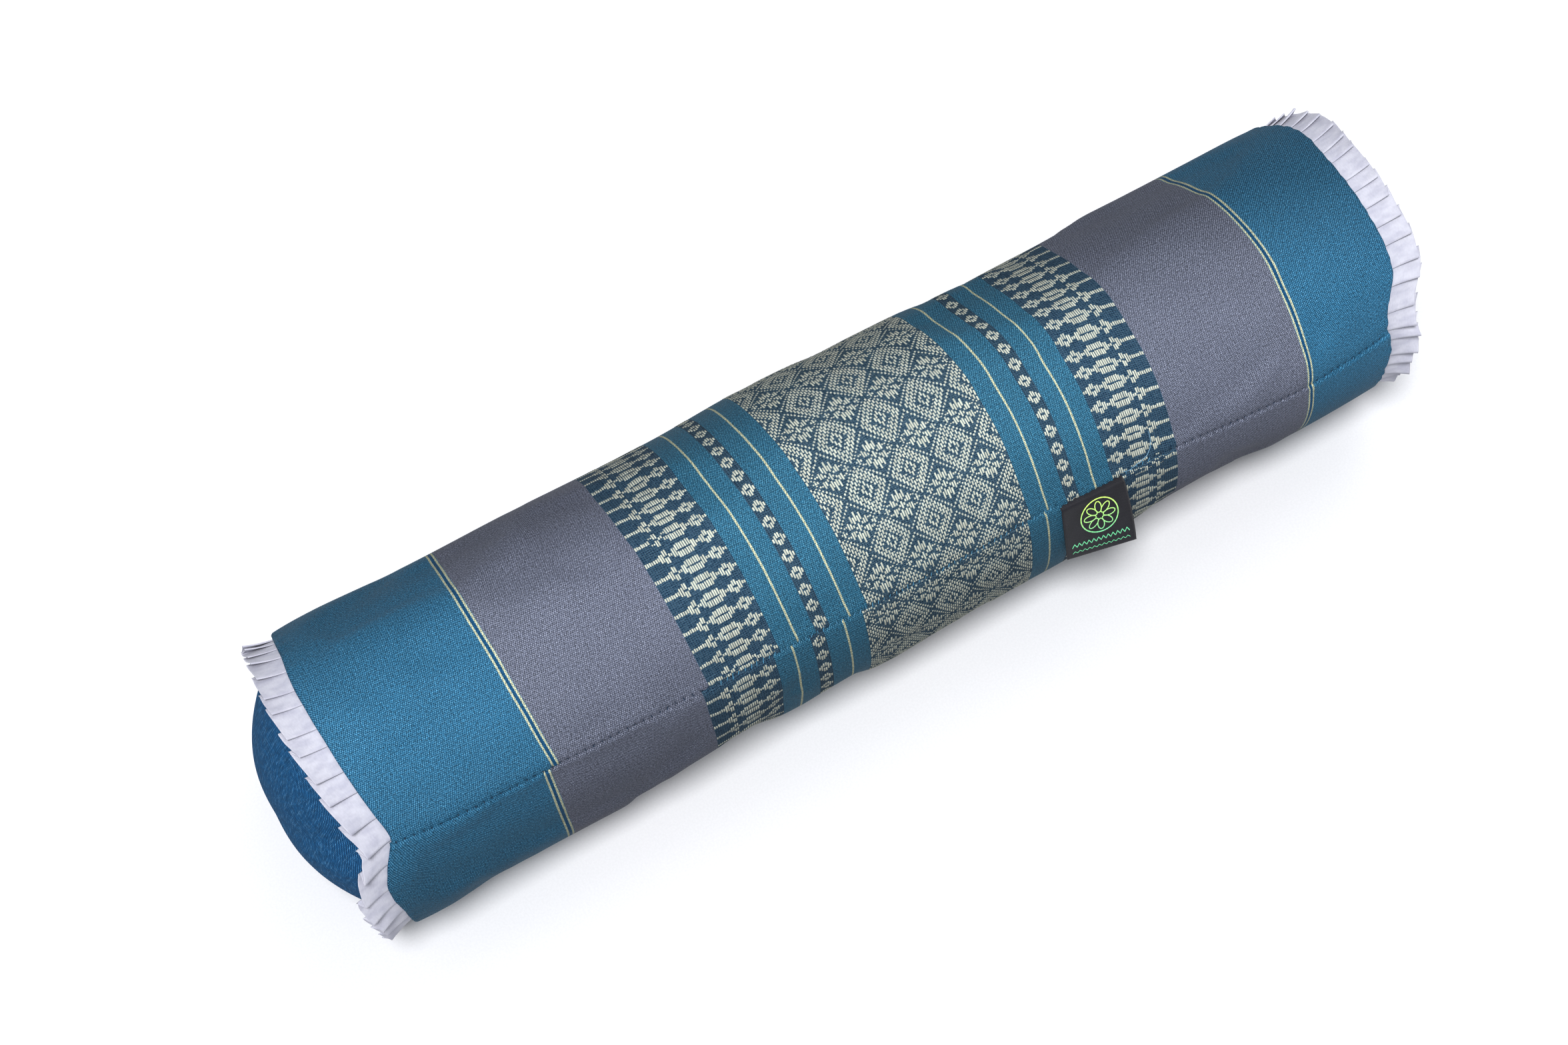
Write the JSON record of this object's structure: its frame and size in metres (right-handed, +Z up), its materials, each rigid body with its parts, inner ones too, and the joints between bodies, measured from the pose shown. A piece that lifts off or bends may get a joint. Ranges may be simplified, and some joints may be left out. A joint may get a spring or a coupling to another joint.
{
  "type": "bolster pillow",
  "caption": "Round fibre-stuffed roll pillow in a woven striped cover, with domed ends and a pleated ribbon at each end seam.",
  "frame": {"origin": "on the surface the roll rests on, under the middle of the roll", "axes": "+X along the roll to its right-hand end, +Z up, the long seam and the label on the -Y side"},
  "size_m": [0.65, 0.164, 0.1475],
  "materials": {
    "woven_cover": "plain and brocade-woven cotton in striped blues and greys",
    "denim": "tightly woven blue cotton",
    "ribbon": "pale lavender-white pleated grosgrain ribbon",
    "dark_thread": "dark blue sewing thread",
    "closing_yarn": "blue hand-sewing thread",
    "label_weave": "black woven ribbon with a pale green ornament",
    "liner_cotton": "unbleached plain cotton",
    "kapok": "packed plant fibre"
  },
  "bodies": {
    "bolster": {"outer_cover": "woven_cover", "end_cap_left": "denim", "end_cap_right": "denim", "ruffle_left": "ribbon", "ruffle_right": "ribbon", "cap_seam_thread_left": "dark_thread", "cap_seam_thread_right": "dark_thread", "side_seam_thread_left": "dark_thread", "side_seam_thread_right": "dark_thread", "closing_thread": "closing_yarn", "liner_tube": "liner_cotton", "liner_end_left": "liner_cotton", "liner_end_right": "liner_cotton", "kapok_core": "kapok"},
    "label": {"label": "label_weave"}
  },
  "joints": [
    {"name": "label_flip", "type": "hinge", "parent": "bolster", "child": "label", "pos_m": [0.095, -0.0648, 0.11071], "axis": [-0.9993, 0.0192, 0.0314], "range_deg": [0, 165]}
  ]
}
